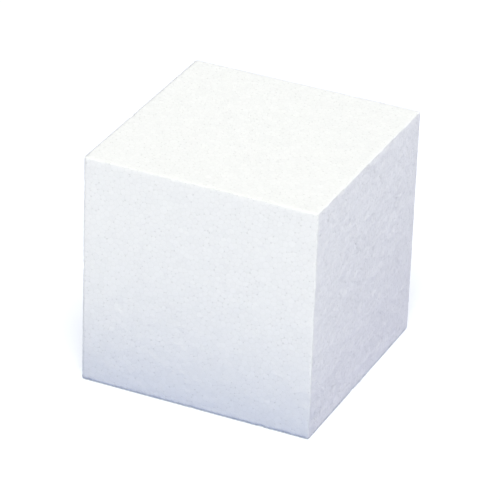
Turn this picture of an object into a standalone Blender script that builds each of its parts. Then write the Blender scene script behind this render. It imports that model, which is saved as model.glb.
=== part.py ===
"""Dry floral foam cube: one rigid block of white expanded polystyrene.

The block is cut square on all six sides. It stands on the XY plane, centred on the Z axis, with its
front face towards -Y. All lengths are in metres.
"""

import bmesh
import bpy

INCH = 0.0254

# Driving dimensions
LENGTH = 4.0 * INCH  # along X, across the front face
DEPTH = 4.0 * INCH  # along Y, front to back
HEIGHT = 4.0 * INCH  # along Z, from the resting face to the top
EDGE_ROUNDING = 0.0012  # radius that cutting and handling leave on every edge
ROUNDING_SEGMENTS = 4

# Foam
FOAM_COLOUR = (0.90, 0.91, 0.92, 1.0)
FOAM_ROUGHNESS = 0.75


def clear_scene():
    """Removes whatever the scene holds."""
    for thing in list(bpy.data.objects):
        bpy.data.objects.remove(thing, do_unlink=True)


def foam_material():
    """Matt white expanded polystyrene."""
    material = bpy.data.materials.new("white_foam")
    material.use_nodes = True
    shader = material.node_tree.nodes["Principled BSDF"]
    shader.inputs["Base Color"].default_value = FOAM_COLOUR
    shader.inputs["Roughness"].default_value = FOAM_ROUGHNESS
    shader.inputs["Metallic"].default_value = 0.0
    return material


def block_mesh(name, length, depth, height):
    """A square-edged block that stands on the XY plane, centred on the Z axis."""
    mesh = bpy.data.meshes.new(name)
    block = bmesh.new()
    bmesh.ops.create_cube(block, size=1.0)
    bmesh.ops.scale(block, vec=(length, depth, height), verts=block.verts)
    bmesh.ops.translate(block, vec=(0.0, 0.0, height / 2), verts=block.verts)
    block.to_mesh(mesh)
    block.free()
    return mesh


def foam_cube():
    """The whole block, with its twelve edges and eight corners rounded."""
    cube = bpy.data.objects.new("foam_cube", block_mesh("foam_cube", LENGTH, DEPTH, HEIGHT))
    cube.data.materials.append(foam_material())
    bpy.context.scene.collection.objects.link(cube)

    rounding = cube.modifiers.new("edge_rounding", "BEVEL")
    rounding.limit_method = "NONE"
    rounding.width = EDGE_ROUNDING
    rounding.segments = ROUNDING_SEGMENTS
    return cube


clear_scene()
foam_cube()
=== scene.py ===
"""Looks of the dry floral foam cube: white beads fused into one block, on a plain white floor.

The block's surface is a mesh of its beads. Each bead is a cell whose rim lies in a shallow groove, three
cells meet at a small hollow, and the cells run on round the block's rounded edges. Lengths are in metres.
"""

from math import cos, pi, radians, sin, sqrt

import bpy
import numpy as np
from mathutils import Matrix, Vector
from mathutils.geometry import delaunay_2d_cdt


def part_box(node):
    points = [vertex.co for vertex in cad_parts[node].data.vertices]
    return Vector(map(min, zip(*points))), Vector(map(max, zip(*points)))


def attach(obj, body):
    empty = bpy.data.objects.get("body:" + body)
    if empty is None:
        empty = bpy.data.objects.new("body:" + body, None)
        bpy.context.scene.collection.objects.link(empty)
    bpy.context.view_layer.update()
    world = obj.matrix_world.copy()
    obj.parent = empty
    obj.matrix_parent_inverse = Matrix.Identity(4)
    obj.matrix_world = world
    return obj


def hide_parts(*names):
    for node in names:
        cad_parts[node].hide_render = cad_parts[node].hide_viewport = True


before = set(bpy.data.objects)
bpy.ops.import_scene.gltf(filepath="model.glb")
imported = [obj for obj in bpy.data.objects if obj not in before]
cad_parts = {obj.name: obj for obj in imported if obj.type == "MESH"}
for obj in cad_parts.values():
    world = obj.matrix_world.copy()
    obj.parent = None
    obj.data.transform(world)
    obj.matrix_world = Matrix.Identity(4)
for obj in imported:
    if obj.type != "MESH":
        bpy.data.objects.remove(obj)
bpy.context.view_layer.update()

MM = 0.001
SEED = 4
X = 0
SIDES = range(6)  # the three low sides, then the three high ones, each three in the order X, Y, Z

# Beads
BEAD = 2.15 * MM  # mean distance between neighbouring beads
BEAD_GAPS = (0.62, 0.98)  # least distance between two beads, as shares of BEAD
EDGE_BEAD = 0.95  # mean distance between beads along an edge, as a share of BEAD
EDGE_GAPS = (0.75, 1.30)  # distances between beads along an edge, before they are fitted to its length
BORDER_GAP = 0.45  # least distance from a bead inside a face to the face's border, as a share of BEAD
MEET_GAP = 0.12  # the same for the points where three beads meet
SAME_PLACE = 1e-9  # beads nearer than this would be joined as one
EVEN_CELLS = 0.7  # 1 puts those points equally far from their three beads, 0 at the middle of the three
TRIES = 45  # places tried for each bead

# Relief
EDGE_ROUNDING = 1.2 * MM
BEAD_LEVEL = 0.036 * MM  # how much the beads differ in height
CLUMP_LEVEL = 0.012 * MM  # how much clumps of neighbouring beads differ in height
MOST_SPREAD = 2.5  # the most that a bead or clump stands out, as a multiple of those two
GROOVE = 0.20 * MM  # mean depth between two beads
GROOVE_SPREAD = (0.8, 1.2)  # least and greatest depth, as shares of GROOVE
HOLLOW = (0.16 * MM, 0.40 * MM)  # depth where three beads meet
HOLLOW_POWER = 3  # the higher, the more of the hollows are shallow
WAVE = 0.012 * MM  # unevenness over a few centimetres
WAVE_LENGTHS = (12 * MM, 45 * MM)
WAVE_COUNT = 60
CUT_ENDS = 2.1  # how many times rougher the two sides across X are, where the foam was cut
EDGE_LEVEL = 0.4  # share of the beads' differences in height that is left along the edges
EDGE_GROOVE = 0.6  # share of the grooves' depth that is left there
LOST_SHARE = 0.0010  # beads torn out of a face
LOST_DEPTH = (0.25 * MM, 0.5 * MM)
NICKED_SHARE = 0.05  # beads pressed in or torn along the edges
NICK_DEPTH = (0.08 * MM, 0.35 * MM)

# Foam
FOAM_COLOUR = (0.93, 0.94, 0.943)
CLUMP_TONE = 0.25  # how much of a bead's shade it shares with its neighbours
CLUMP_RANGE = 2  # clump numbers from minus this to this give the whole range of shades
DARKEST_BEAD = 0.967  # the three shares of the foam's colour that are left in the darkest places
SEAM_SHADE = 0.955
# painted shade: the open hollows where three beads meet are darkened to stand in for the shade that falls
# into them
HOLLOW_PAINTED_SHADE = 0.85
SEAM_WIDTH = 0.16  # in millimetres, as rim_distance is
OPEN_HOLLOWS = (0.5, 0.95)  # a hollow is closed if its random number is under the first, open if over both
SEAM_BUMP = 0.05  # the bump heights are in millimetres
HOLLOW_BUMP = 0.10
CELL_SIZE = 0.25 * MM  # the foam's own cells, inside a bead
CELL_BUMP = 0.012
CRUMB_SIZE = 1.1 * MM
CRUMB_BUMP = 0.03
UV_MARGIN = 0.01  # kept free round each side in the UV map, as a share of its tile
ROUGHNESS = 0.58
TONE_ROUGHNESS = 0.12  # added in the lightest beads
SEAM_ROUGHNESS = 0.15  # added in the seams
SHINE = 0.3
GLOW_THROUGH = 0.4  # how much of the light scatters under the surface
GLOW_DEPTH = 0.6 * MM

# Floor. The cards lie on it round the block's foot, unseen by the camera, and give back less light than the
# floor does, because the foot of the block is bluish and darker in the photograph.
FLOOR_SIZE = 40.0
FLOOR_DROP = 0.05 * MM
FLOOR_COLOUR = (0.53, 0.53, 0.60)
FLOOR_GLOW = (0.475, 0.50, 0.495)
CARD_DROP = 0.03 * MM
FRONT_CARD = (0.29, 0.355, 0.60)
FRONT_CARD_REACH = 52 * MM
FRONT_CARD_PAST_LEFT = 25 * MM
FRONT_CARD_PAST_RIGHT = 30 * MM
RIGHT_CARD = (0.54, 0.548, 0.687)
RIGHT_CARD_REACH = 140 * MM
RIGHT_CARD_PAST_BACK = 100 * MM
FOOT_CARD = (0.30, 0.34, 0.42)
FOOT_CARD_REACH = 4 * MM

# Light: each colour is what a white surface facing the light would give back. An azimuth turns from the
# front, -Y, to the right, +X. The spread is the light's width in the sky. All angles are in degrees.
WHITE = (1.0, 1.0, 1.0)
SKY = (0.10, 0.10, 0.20)
KEY = (1.025, 1.03, 0.885)
KEY_AZIMUTH, KEY_ELEVATION, KEY_SPREAD = 24, 63, 25
BACK_FILL = (0.285, 0.29, 0.31)
BACK_FILL_AZIMUTH, BACK_FILL_ELEVATION, BACK_FILL_SPREAD = 150, 15, 40

# Camera, fitted to the block's corners in the photograph
AZIMUTH, ELEVATION, ROLL = 24.1, 28.5, 2.07
DISTANCE = 14.07  # from the block's centre, in edge lengths
AIM = (-0.004, -0.020)  # how far the camera stands right and up of that line, in edge lengths
LENS = 254.4
SENSOR = 36


def side_axes(side):
    """The two axes of one side of the block, ordered so that their cross product points outwards."""
    a, b = (side + 1) % 3, (side + 2) % 3
    return (a, b) if side >= 3 else (b, a)


def sides_met(places, low, high):
    """How many sides of the block each place lies on: 1 inside a side, 2 along an edge, 3 at a corner."""
    return ((places == low) | (places == high)).sum(1)


def border_beads(rng, low, high):
    """Places of the beads on the block's corners and along its edges."""
    ends = np.array([low, high])
    places = [[ends[x, 0], ends[y, 1], ends[z, 2]] for x in (0, 1) for y in (0, 1) for z in (0, 1)]
    for axis in range(3):
        b, c = (axis + 1) % 3, (axis + 2) % 3
        length = high[axis] - low[axis]
        for at_b in ends[:, b]:
            for at_c in ends[:, c]:
                steps = rng.uniform(*EDGE_GAPS, round(length / (BEAD * EDGE_BEAD)))
                for stop in np.cumsum(steps)[:-1] / steps.sum():
                    place = np.empty(3)
                    place[[axis, b, c]] = low[axis] + stop * length, at_b, at_c
                    places.append(place)
    return np.array(places)


def face_beads(rng, border, width, height):
    """Places of the beads inside a face of this size, none too near another or the beads on its border."""
    reach = BEAD_GAPS[1] * BEAD
    grid = {}

    def cell(x, y):
        return int(x / reach), int(y / reach)

    def clear(x, y, gap):
        i, j = cell(x, y)
        for di in (-1, 0, 1):
            for dj in (-1, 0, 1):
                for other_x, other_y, other_gap in grid.get((i + di, j + dj), ()):
                    if (other_x - x) ** 2 + (other_y - y) ** 2 < max(gap, other_gap) ** 2:
                        return False
        return True

    for x, y in border:
        grid.setdefault(cell(x, y), []).append((x, y, BEAD_GAPS[0] * BEAD))
    margin = BORDER_GAP * BEAD
    count = int(TRIES * width * height / BEAD**2)
    xs = rng.uniform(margin, width - margin, count)
    ys = rng.uniform(margin, height - margin, count)
    gaps = BEAD * rng.uniform(*BEAD_GAPS, count)
    found = []
    for x, y, gap in zip(xs.tolist(), ys.tolist(), gaps.tolist()):
        if clear(x, y, gap):
            grid.setdefault(cell(x, y), []).append((x, y, gap))
            found.append((x, y))
    return np.array(found)


def circumcentres(corners):
    """Centres of the circles through triangles of 2-D points, shaped (count, 3, 2)."""
    b = corners[:, 1] - corners[:, 0]
    c = corners[:, 2] - corners[:, 0]
    d = 2 * (b[:, 0] * c[:, 1] - b[:, 1] * c[:, 0])
    bb, cc = (b * b).sum(1), (c * c).sum(1)
    x = (c[:, 1] * bb - b[:, 1] * cc) / d
    y = (b[:, 0] * cc - c[:, 0] * bb) / d
    return corners[:, 0] + np.stack([x, y], 1)


def bead_net(rng, low, high):
    """Joins neighbouring beads into triangles over the whole block. Returns the beads' places, the
    triangles, each triangle's side and the point inside it where its three beads meet."""
    border = border_beads(rng, low, high)
    beads, triangles, sides, meets = [border], [], [], []
    total = len(border)
    for side in SIDES:
        axis = side % 3
        axes = list(side_axes(side))
        level = high[axis] if side >= 3 else low[axis]
        corner = low[axes]
        size = high[axes] - corner
        on_border = np.flatnonzero(border[:, axis] == level)
        flat = border[on_border][:, axes] - corner
        inside = face_beads(rng, flat, *size)
        numbers = np.concatenate([on_border, total + np.arange(len(inside))])
        total += len(inside)
        flat = np.concatenate([flat, inside])
        _, _, faces, sources, _, _ = delaunay_2d_cdt([Vector(p) for p in flat], [], [], 0, SAME_PLACE, True)
        faces = np.array([source[0] for source in sources])[np.array(faces)]
        corners = flat[faces]
        meet = EVEN_CELLS * circumcentres(corners) + (1 - EVEN_CELLS) * corners.mean(1)
        meet = meet.clip(MEET_GAP * BEAD, size - MEET_GAP * BEAD)
        for found, points in ((beads, inside), (meets, meet)):
            places = np.empty((len(points), 3))
            places[:, axis] = level
            places[:, axes] = points + corner
            found.append(places)
        triangles.append(numbers[faces])
        sides.append(np.full(len(faces), side))
    return [np.concatenate(x) for x in (beads, triangles, sides, meets)]


def bead_rims(triangles, sides, meets, low, high):
    """The rim between each two neighbouring beads. Returns the two beads of each rim, the three rims of
    each triangle and the middle of each rim."""
    pairs = np.sort(np.stack([triangles, np.roll(triangles, -1, 1)], 2), 2).reshape(-1, 2)
    pairs, rim_of = np.unique(pairs, axis=0, return_inverse=True)
    rim_of = rim_of.reshape(-1, 3)
    rims = np.zeros((len(pairs), 3))
    for k in range(3):
        np.add.at(rims, rim_of[:, k], meets / 2)
    axis = sides % 3
    level = np.where(sides >= 3, high[axis], low[axis])
    for k in range(3):
        rims[rim_of[:, k], axis] = level
    return pairs, rim_of, rims


def cell_faces(triangles, rim_of, bead_count):
    """Three faces to a triangle: each has a bead, two rims and the meeting point as its corners."""
    meet = bead_count + np.arange(len(triangles))
    rim = bead_count + len(triangles) + rim_of
    corners = [[triangles[:, k], rim[:, k], meet, rim[:, k - 1]] for k in range(3)]
    return np.array(corners).transpose(2, 0, 1).reshape(-1, 4)


def rounded(places, low, high):
    """The places moved in to the block's rounded edges, and the outward direction at each."""
    core = places.clip(low + EDGE_ROUNDING, high - EDGE_ROUNDING)
    out = places - core
    out /= np.linalg.norm(out, axis=1)[:, None]
    return core + EDGE_ROUNDING * out, out


def unevenness(rng, points):
    """A smooth random height at each point, of unit spread, from waves in all directions."""
    waves = rng.normal(0, 1, (WAVE_COUNT, 3))
    lengths = rng.uniform(*WAVE_LENGTHS, WAVE_COUNT)
    waves *= (2 * pi / lengths / np.linalg.norm(waves, axis=1))[:, None]
    return np.sin(points @ waves.T + rng.uniform(0, 2 * pi, WAVE_COUNT)).sum(1) * sqrt(2 / WAVE_COUNT)


def bead_levels(rng, beads, pairs, low, high):
    """Height of each bead's middle, and a random number of unit spread that neighbouring beads share."""
    count = len(beads)
    on_edge = sides_met(beads, low, high) >= 2
    level = BEAD_LEVEL * rng.normal(0, 1, count).clip(-MOST_SPREAD, MOST_SPREAD)
    own = rng.normal(0, 1, count)
    clump = own.copy()
    for k in (0, 1):
        np.add.at(clump, pairs[:, k], own[pairs[:, 1 - k]])
    clump /= clump.std()
    level += CLUMP_LEVEL * clump.clip(-MOST_SPREAD, MOST_SPREAD)
    level[on_edge] *= EDGE_LEVEL
    lost = (rng.random(count) < LOST_SHARE) & ~on_edge
    level[lost] = -rng.uniform(*LOST_DEPTH, lost.sum())
    nicked = (rng.random(count) < NICKED_SHARE) & on_edge
    level[nicked] = -rng.uniform(*NICK_DEPTH, nicked.sum())
    return level, clump


def crossing_levels(rng, level, triangles):
    """Height of the points where three beads meet."""
    depth = HOLLOW[0] + (HOLLOW[1] - HOLLOW[0]) * rng.random(len(triangles)) ** HOLLOW_POWER
    return level[triangles].mean(1) - depth


def rim_levels(rng, level, pairs, rims, low, high):
    """Height of the middle of each rim."""
    depth = GROOVE * rng.uniform(*GROOVE_SPREAD, len(pairs))
    depth[sides_met(rims, low, high) >= 2] *= EDGE_GROOVE
    return level[pairs].mean(1) - depth


def rim_distances(beads, pairs):
    """Mean distance from each bead's middle to its rim."""
    spans = np.linalg.norm(beads[pairs[:, 0]] - beads[pairs[:, 1]], axis=1) / 2
    total, met = np.zeros(len(beads)), np.zeros(len(beads))
    for k in (0, 1):
        np.add.at(total, pairs[:, k], spans)
        np.add.at(met, pairs[:, k], 1)
    return total / met


def store(mesh, name, domain, values):
    mesh.attributes.new(name, "FLOAT", domain).data.foreach_set("value", values)


def foam_block(low, high):
    """The block's surface as one closed mesh. Returns it with its vertices' places before the edges were
    rounded, its faces and the side of the block that each face is on."""
    rng = np.random.default_rng(SEED)
    beads, triangles, sides, meets = bead_net(rng, low, high)
    pairs, rim_of, rims = bead_rims(triangles, sides, meets, low, high)
    places = np.concatenate([beads, meets, rims])
    faces = cell_faces(triangles, rim_of, len(beads))
    points, out = rounded(places, low, high)

    level, clump = bead_levels(rng, beads, pairs, low, high)
    meet_level = crossing_levels(rng, level, triangles)
    height = np.concatenate([level, meet_level, rim_levels(rng, level, pairs, rims, low, high)])
    on_end = (places[:, X] == low[X]) | (places[:, X] == high[X])
    height[on_end & (sides_met(places, low, high) == 1)] *= CUT_ENDS
    height += WAVE * unevenness(rng, points)
    height -= height.max()  # so that nothing stands out of the CAD block
    points += out * height[:, None]

    mesh = bpy.data.meshes.new("foam_beads")
    mesh.from_pydata(points.tolist(), [], faces.tolist())
    mesh.polygons.foreach_set("use_smooth", np.ones(len(faces), bool))

    rim_distance, hollow = np.zeros(len(points)), np.zeros(len(points))
    rim_distance[:len(beads)] = rim_distances(beads, pairs) / MM
    hollow[len(beads):len(beads) + len(meets)] = rng.random(len(meets))
    clump_tone = ((clump / CLUMP_RANGE + 1) / 2).clip(0, 1)
    tone = (1 - CLUMP_TONE) * rng.random(len(beads)) + CLUMP_TONE * clump_tone
    store(mesh, "rim_distance", "POINT", rim_distance)
    store(mesh, "hollow", "POINT", hollow)
    store(mesh, "bead_tone", "FACE", tone[triangles.reshape(-1)])
    return mesh, places, faces, np.repeat(sides, 3)


def lay_out(mesh, places, faces, side_of, low, high):
    """A UV map that sets the block's six sides out in three columns and two rows."""
    share = (places - low) / (high - low)
    uv = np.empty((len(faces), 4, 2))
    for side in SIDES:
        mine = side_of == side
        inside = share[faces[mine]][:, :, list(side_axes(side))]
        tile = np.array([side % 3, side // 3])
        uv[mine] = (tile + UV_MARGIN + (1 - 2 * UV_MARGIN) * inside) / [3, 2]
    layer = mesh.uv_layers.new(name="OFBake")
    layer.uv.foreach_set("vector", uv.astype(np.float32).ravel())


def foam_material():
    """Matt white foam: each bead has its own shade and the seams are darker, and the open hollows are
    darkened as painted shade that stands in for the shade falling into them.
    """
    material = bpy.data.materials.new("white_foam")
    material.use_nodes = True
    nodes, links = material.node_tree.nodes, material.node_tree.links
    shader = nodes["Principled BSDF"]
    coordinates = nodes.new("ShaderNodeTexCoord")

    def attribute(name):
        node = nodes.new("ShaderNodeAttribute")
        node.attribute_name = name
        return node.outputs["Fac"]

    def ramp(value, start, end, at_start, at_end, kind="LINEAR"):
        node = nodes.new("ShaderNodeMapRange")
        node.interpolation_type = kind
        links.new(value, node.inputs["Value"])
        node.inputs["From Min"].default_value = start
        node.inputs["From Max"].default_value = end
        node.inputs["To Min"].default_value = at_start
        node.inputs["To Max"].default_value = at_end
        return node.outputs["Result"]

    def maths(operation, *inputs):
        node = nodes.new("ShaderNodeMath")
        node.operation = operation
        for socket, value in zip(node.inputs, inputs):
            if isinstance(value, float):
                socket.default_value = value
            else:
                links.new(value, socket)
        return node.outputs["Value"]

    def noise(size, detail):
        node = nodes.new("ShaderNodeTexNoise")
        links.new(coordinates.outputs["Object"], node.inputs["Vector"])
        node.inputs["Scale"].default_value = 1 / size
        node.inputs["Detail"].default_value = detail
        return node.outputs["Fac"]

    seam = ramp(attribute("rim_distance"), 0.0, SEAM_WIDTH, 1.0, 0.0, "SMOOTHSTEP")
    hollow = ramp(attribute("hollow"), *OPEN_HOLLOWS, 0.0, 1.0, "SMOOTHSTEP")
    tone = attribute("bead_tone")

    height = maths("MULTIPLY", seam, -SEAM_BUMP)
    height = maths("MULTIPLY_ADD", hollow, -HOLLOW_BUMP, height)
    height = maths("MULTIPLY_ADD", noise(CELL_SIZE, detail=1.0), CELL_BUMP, height)
    height = maths("MULTIPLY_ADD", noise(CRUMB_SIZE, detail=2.0), CRUMB_BUMP, height)
    bump = nodes.new("ShaderNodeBump")
    bump.inputs["Strength"].default_value = 1.0
    bump.inputs["Distance"].default_value = MM
    links.new(height, bump.inputs["Height"])
    links.new(bump.outputs["Normal"], shader.inputs["Normal"])

    shade = ramp(tone, 0.0, 1.0, DARKEST_BEAD, 1.0)
    shade = maths("MULTIPLY", shade, ramp(seam, 0.0, 1.0, 1.0, SEAM_SHADE))
    # painted shade: the open hollows are darkened in the foam's colour
    shade = maths("MULTIPLY", shade, ramp(hollow, 0.0, 1.0, 1.0, HOLLOW_PAINTED_SHADE))
    colour = nodes.new("ShaderNodeVectorMath")
    colour.operation = "SCALE"
    colour.inputs["Vector"].default_value = FOAM_COLOUR
    links.new(shade, colour.inputs["Scale"])
    links.new(colour.outputs["Vector"], shader.inputs["Base Color"])

    roughness = maths("MULTIPLY_ADD", tone, TONE_ROUGHNESS, ROUGHNESS)
    roughness = maths("MULTIPLY_ADD", seam, SEAM_ROUGHNESS, roughness)
    links.new(roughness, shader.inputs["Roughness"])
    shader.inputs["Specular IOR Level"].default_value = SHINE
    shader.inputs["Subsurface Weight"].default_value = GLOW_THROUGH
    shader.inputs["Subsurface Radius"].default_value = WHITE
    shader.inputs["Subsurface Scale"].default_value = GLOW_DEPTH
    return material


def stage_material(name, colour, glow=None):
    """A matt material for the floor and the cards, which may give off some light of its own."""
    material = bpy.data.materials.new(name)
    material.use_nodes = True
    shader = material.node_tree.nodes["Principled BSDF"]
    shader.inputs["Base Color"].default_value = (*colour, 1.0)
    shader.inputs["Roughness"].default_value = 1.0
    shader.inputs["Specular IOR Level"].default_value = 0.0
    if glow:
        shader.inputs["Emission Color"].default_value = (*glow, 1.0)
        shader.inputs["Emission Strength"].default_value = 1.0
    return material


def placed(name, data):
    thing = bpy.data.objects.new(name, data)
    bpy.context.scene.collection.objects.link(thing)
    return thing


def sheet(name, x_range, y_range, z, material):
    """A flat rectangle of the stage."""
    (x0, x1), (y0, y1) = x_range, y_range
    mesh = bpy.data.meshes.new(name)
    mesh.from_pydata([(x0, y0, z), (x1, y0, z), (x1, y1, z), (x0, y1, z)], [], [(0, 1, 2, 3)])
    mesh.materials.append(material)
    thing = placed(name, mesh)
    return thing


def shade_card(name, x_range, y_range, z, colour):
    card = sheet(name, x_range, y_range, z, stage_material(name, colour))
    card.visible_camera = False
    card.visible_shadow = False


def direction(azimuth, elevation):
    """The unit vector towards a place in the sky."""
    a, e = radians(azimuth), radians(elevation)
    return Vector((sin(a) * cos(e), -cos(a) * cos(e), sin(e)))


def distant_light(name, azimuth, elevation, spread, colour):
    light = placed(name, bpy.data.lights.new(name, "SUN"))
    light.data.energy = pi
    light.data.color = colour
    light.data.angle = radians(spread)
    light.rotation_euler = direction(azimuth, elevation).to_track_quat("Z", "Y").to_euler()


def studio_world():
    """A dim sky that lights the block, behind a white background that only the camera sees."""
    world = bpy.data.worlds.new("studio")
    world.use_nodes = True
    nodes, links = world.node_tree.nodes, world.node_tree.links
    sky = nodes["Background"]
    backdrop = nodes.new("ShaderNodeBackground")
    sky.inputs["Color"].default_value = (*SKY, 1.0)
    backdrop.inputs["Color"].default_value = (*WHITE, 1.0)
    mix = nodes.new("ShaderNodeMixShader")
    path = nodes.new("ShaderNodeLightPath")
    links.new(path.outputs["Is Camera Ray"], mix.inputs["Fac"])
    links.new(sky.outputs["Background"], mix.inputs[1])
    links.new(backdrop.outputs["Background"], mix.inputs[2])
    links.new(mix.outputs["Shader"], nodes["World Output"].inputs["Surface"])
    return world


def photo_camera(low, high):
    back = direction(AZIMUTH, ELEVATION)
    right = Vector((cos(radians(AZIMUTH)), sin(radians(AZIMUTH)), 0))
    up = back.cross(right)
    turn, lean = cos(radians(ROLL)), sin(radians(ROLL))
    right, up = turn * right + lean * up, turn * up - lean * right
    edge = float(high[0] - low[0])
    centre = Vector((low + high) / 2)
    place = centre + edge * (DISTANCE * back + AIM[0] * right + AIM[1] * up)
    camera = placed("camera", bpy.data.cameras.new("camera"))
    camera.data.lens = LENS
    camera.data.sensor_width = SENSOR
    camera.matrix_world = Matrix.Translation(place) @ Matrix((right, up, back)).transposed().to_4x4()
    return camera


# The block
low, high = (np.array(corner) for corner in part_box("foam_cube"))
mesh, places, faces, side_of = foam_block(low, high)
lay_out(mesh, places, faces, side_of, low, high)
mesh.materials.append(foam_material())
foam = placed("foam_beads", mesh)
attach(foam, "root")
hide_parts("foam_cube")

# The stage
left, front, base = low
right, back, _ = high
half = FLOOR_SIZE / 2
floor_material = stage_material("floor_white", FLOOR_COLOUR, FLOOR_GLOW)
sheet("floor", (-half, half), (-half, half), base - FLOOR_DROP, floor_material)
cards = {
    "shade_front": (
        (left - FRONT_CARD_PAST_LEFT, right + FRONT_CARD_PAST_RIGHT),
        (front - FRONT_CARD_REACH, front),
        FRONT_CARD,
    ),
    "shade_foot": ((left - FOOT_CARD_REACH, right), (front, back + FOOT_CARD_REACH), FOOT_CARD),
    "shade_right": ((right, right + RIGHT_CARD_REACH), (front, back + RIGHT_CARD_PAST_BACK), RIGHT_CARD),
}
for name, (x_range, y_range, colour) in cards.items():
    shade_card(name, x_range, y_range, base - CARD_DROP, colour)

scene = bpy.context.scene
scene.world = studio_world()
distant_light("key", KEY_AZIMUTH, KEY_ELEVATION, KEY_SPREAD, KEY)
distant_light("back_fill", BACK_FILL_AZIMUTH, BACK_FILL_ELEVATION, BACK_FILL_SPREAD, BACK_FILL)
scene.camera = photo_camera(low, high)
scene.view_settings.view_transform = "Standard"
